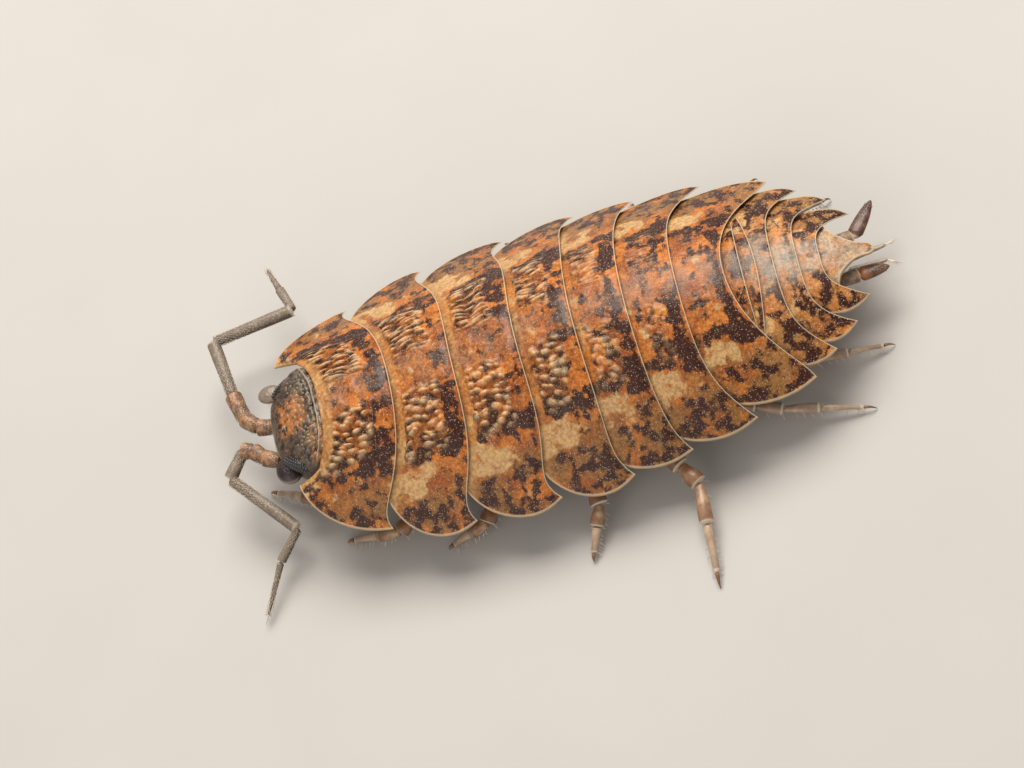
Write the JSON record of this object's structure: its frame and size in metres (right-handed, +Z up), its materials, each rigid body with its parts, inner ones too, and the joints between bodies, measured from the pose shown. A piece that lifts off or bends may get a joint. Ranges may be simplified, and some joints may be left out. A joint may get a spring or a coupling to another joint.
{
  "type": "woodlouse",
  "caption": "Still life-size model of a rough woodlouse standing on its legs, with overlapping back plates, jointed feelers and a forked tail.",
  "frame": {"origin": "middle of the bottom of the whole animal's box, feelers and legs included, on the floor it stands on", "axes": "+Z up, head towards -Y, tail towards +Y, the animal's left side towards +X"},
  "size_m": [0.0118, 0.017, 0.0034],
  "materials": {
    "shell": "satin horny shell, orange brown with dark blotches and pale specks",
    "head_shell": "satin, dark grey brown and grainy",
    "eye": "glossy black beads",
    "feeler": "satin, grey brown with pale scales",
    "leg": "satin, slightly translucent brown with pale joints",
    "tail_blade": "satin dark brown",
    "underside": "satin pale tan"
  },
  "bodies": {
    "root": {"antenna_left_base": "feeler", "antenna_left_lash": "feeler", "antenna_left_shaft": "feeler", "antenna_left_stem": "feeler", "antenna_right_base": "feeler", "antenna_right_lash": "feeler", "antenna_right_shaft": "feeler", "antenna_right_stem": "feeler", "eye_left": "eye", "eye_right": "eye", "head": "head_shell", "leg_left_1_lower": "leg", "leg_left_1_upper": "leg", "leg_left_2_lower": "leg", "leg_left_2_upper": "leg", "leg_left_3_lower": "leg", "leg_left_3_upper": "leg", "leg_left_4_lower": "leg", "leg_left_4_upper": "leg", "leg_left_5_lower": "leg", "leg_left_5_upper": "leg", "leg_left_6_lower": "leg", "leg_left_6_upper": "leg", "leg_left_7_lower": "leg", "leg_left_7_upper": "leg", "leg_right_1_lower": "leg", "leg_right_1_upper": "leg", "leg_right_2_lower": "leg", "leg_right_2_upper": "leg", "leg_right_3_lower": "leg", "leg_right_3_upper": "leg", "leg_right_4_lower": "leg", "leg_right_4_upper": "leg", "leg_right_5_lower": "leg", "leg_right_5_upper": "leg", "leg_right_6_lower": "leg", "leg_right_6_upper": "leg", "leg_right_7_lower": "leg", "leg_right_7_upper": "leg", "mouthparts": "underside", "pereonite_1": "shell", "pereonite_2": "shell", "pereonite_3": "shell", "pereonite_4": "shell", "pereonite_5": "shell", "pereonite_6": "shell", "pereonite_7": "shell", "pleonite_1": "shell", "pleonite_2": "shell", "pleonite_3": "shell", "pleonite_4": "shell", "pleonite_5": "shell", "pleopods": "underside", "telson": "shell", "uropod_left_blade": "tail_blade", "uropod_left_inner": "underside", "uropod_left_stalk": "underside", "uropod_right_blade": "tail_blade", "uropod_right_inner": "underside", "uropod_right_stalk": "underside"}
  },
  "joints": []
}
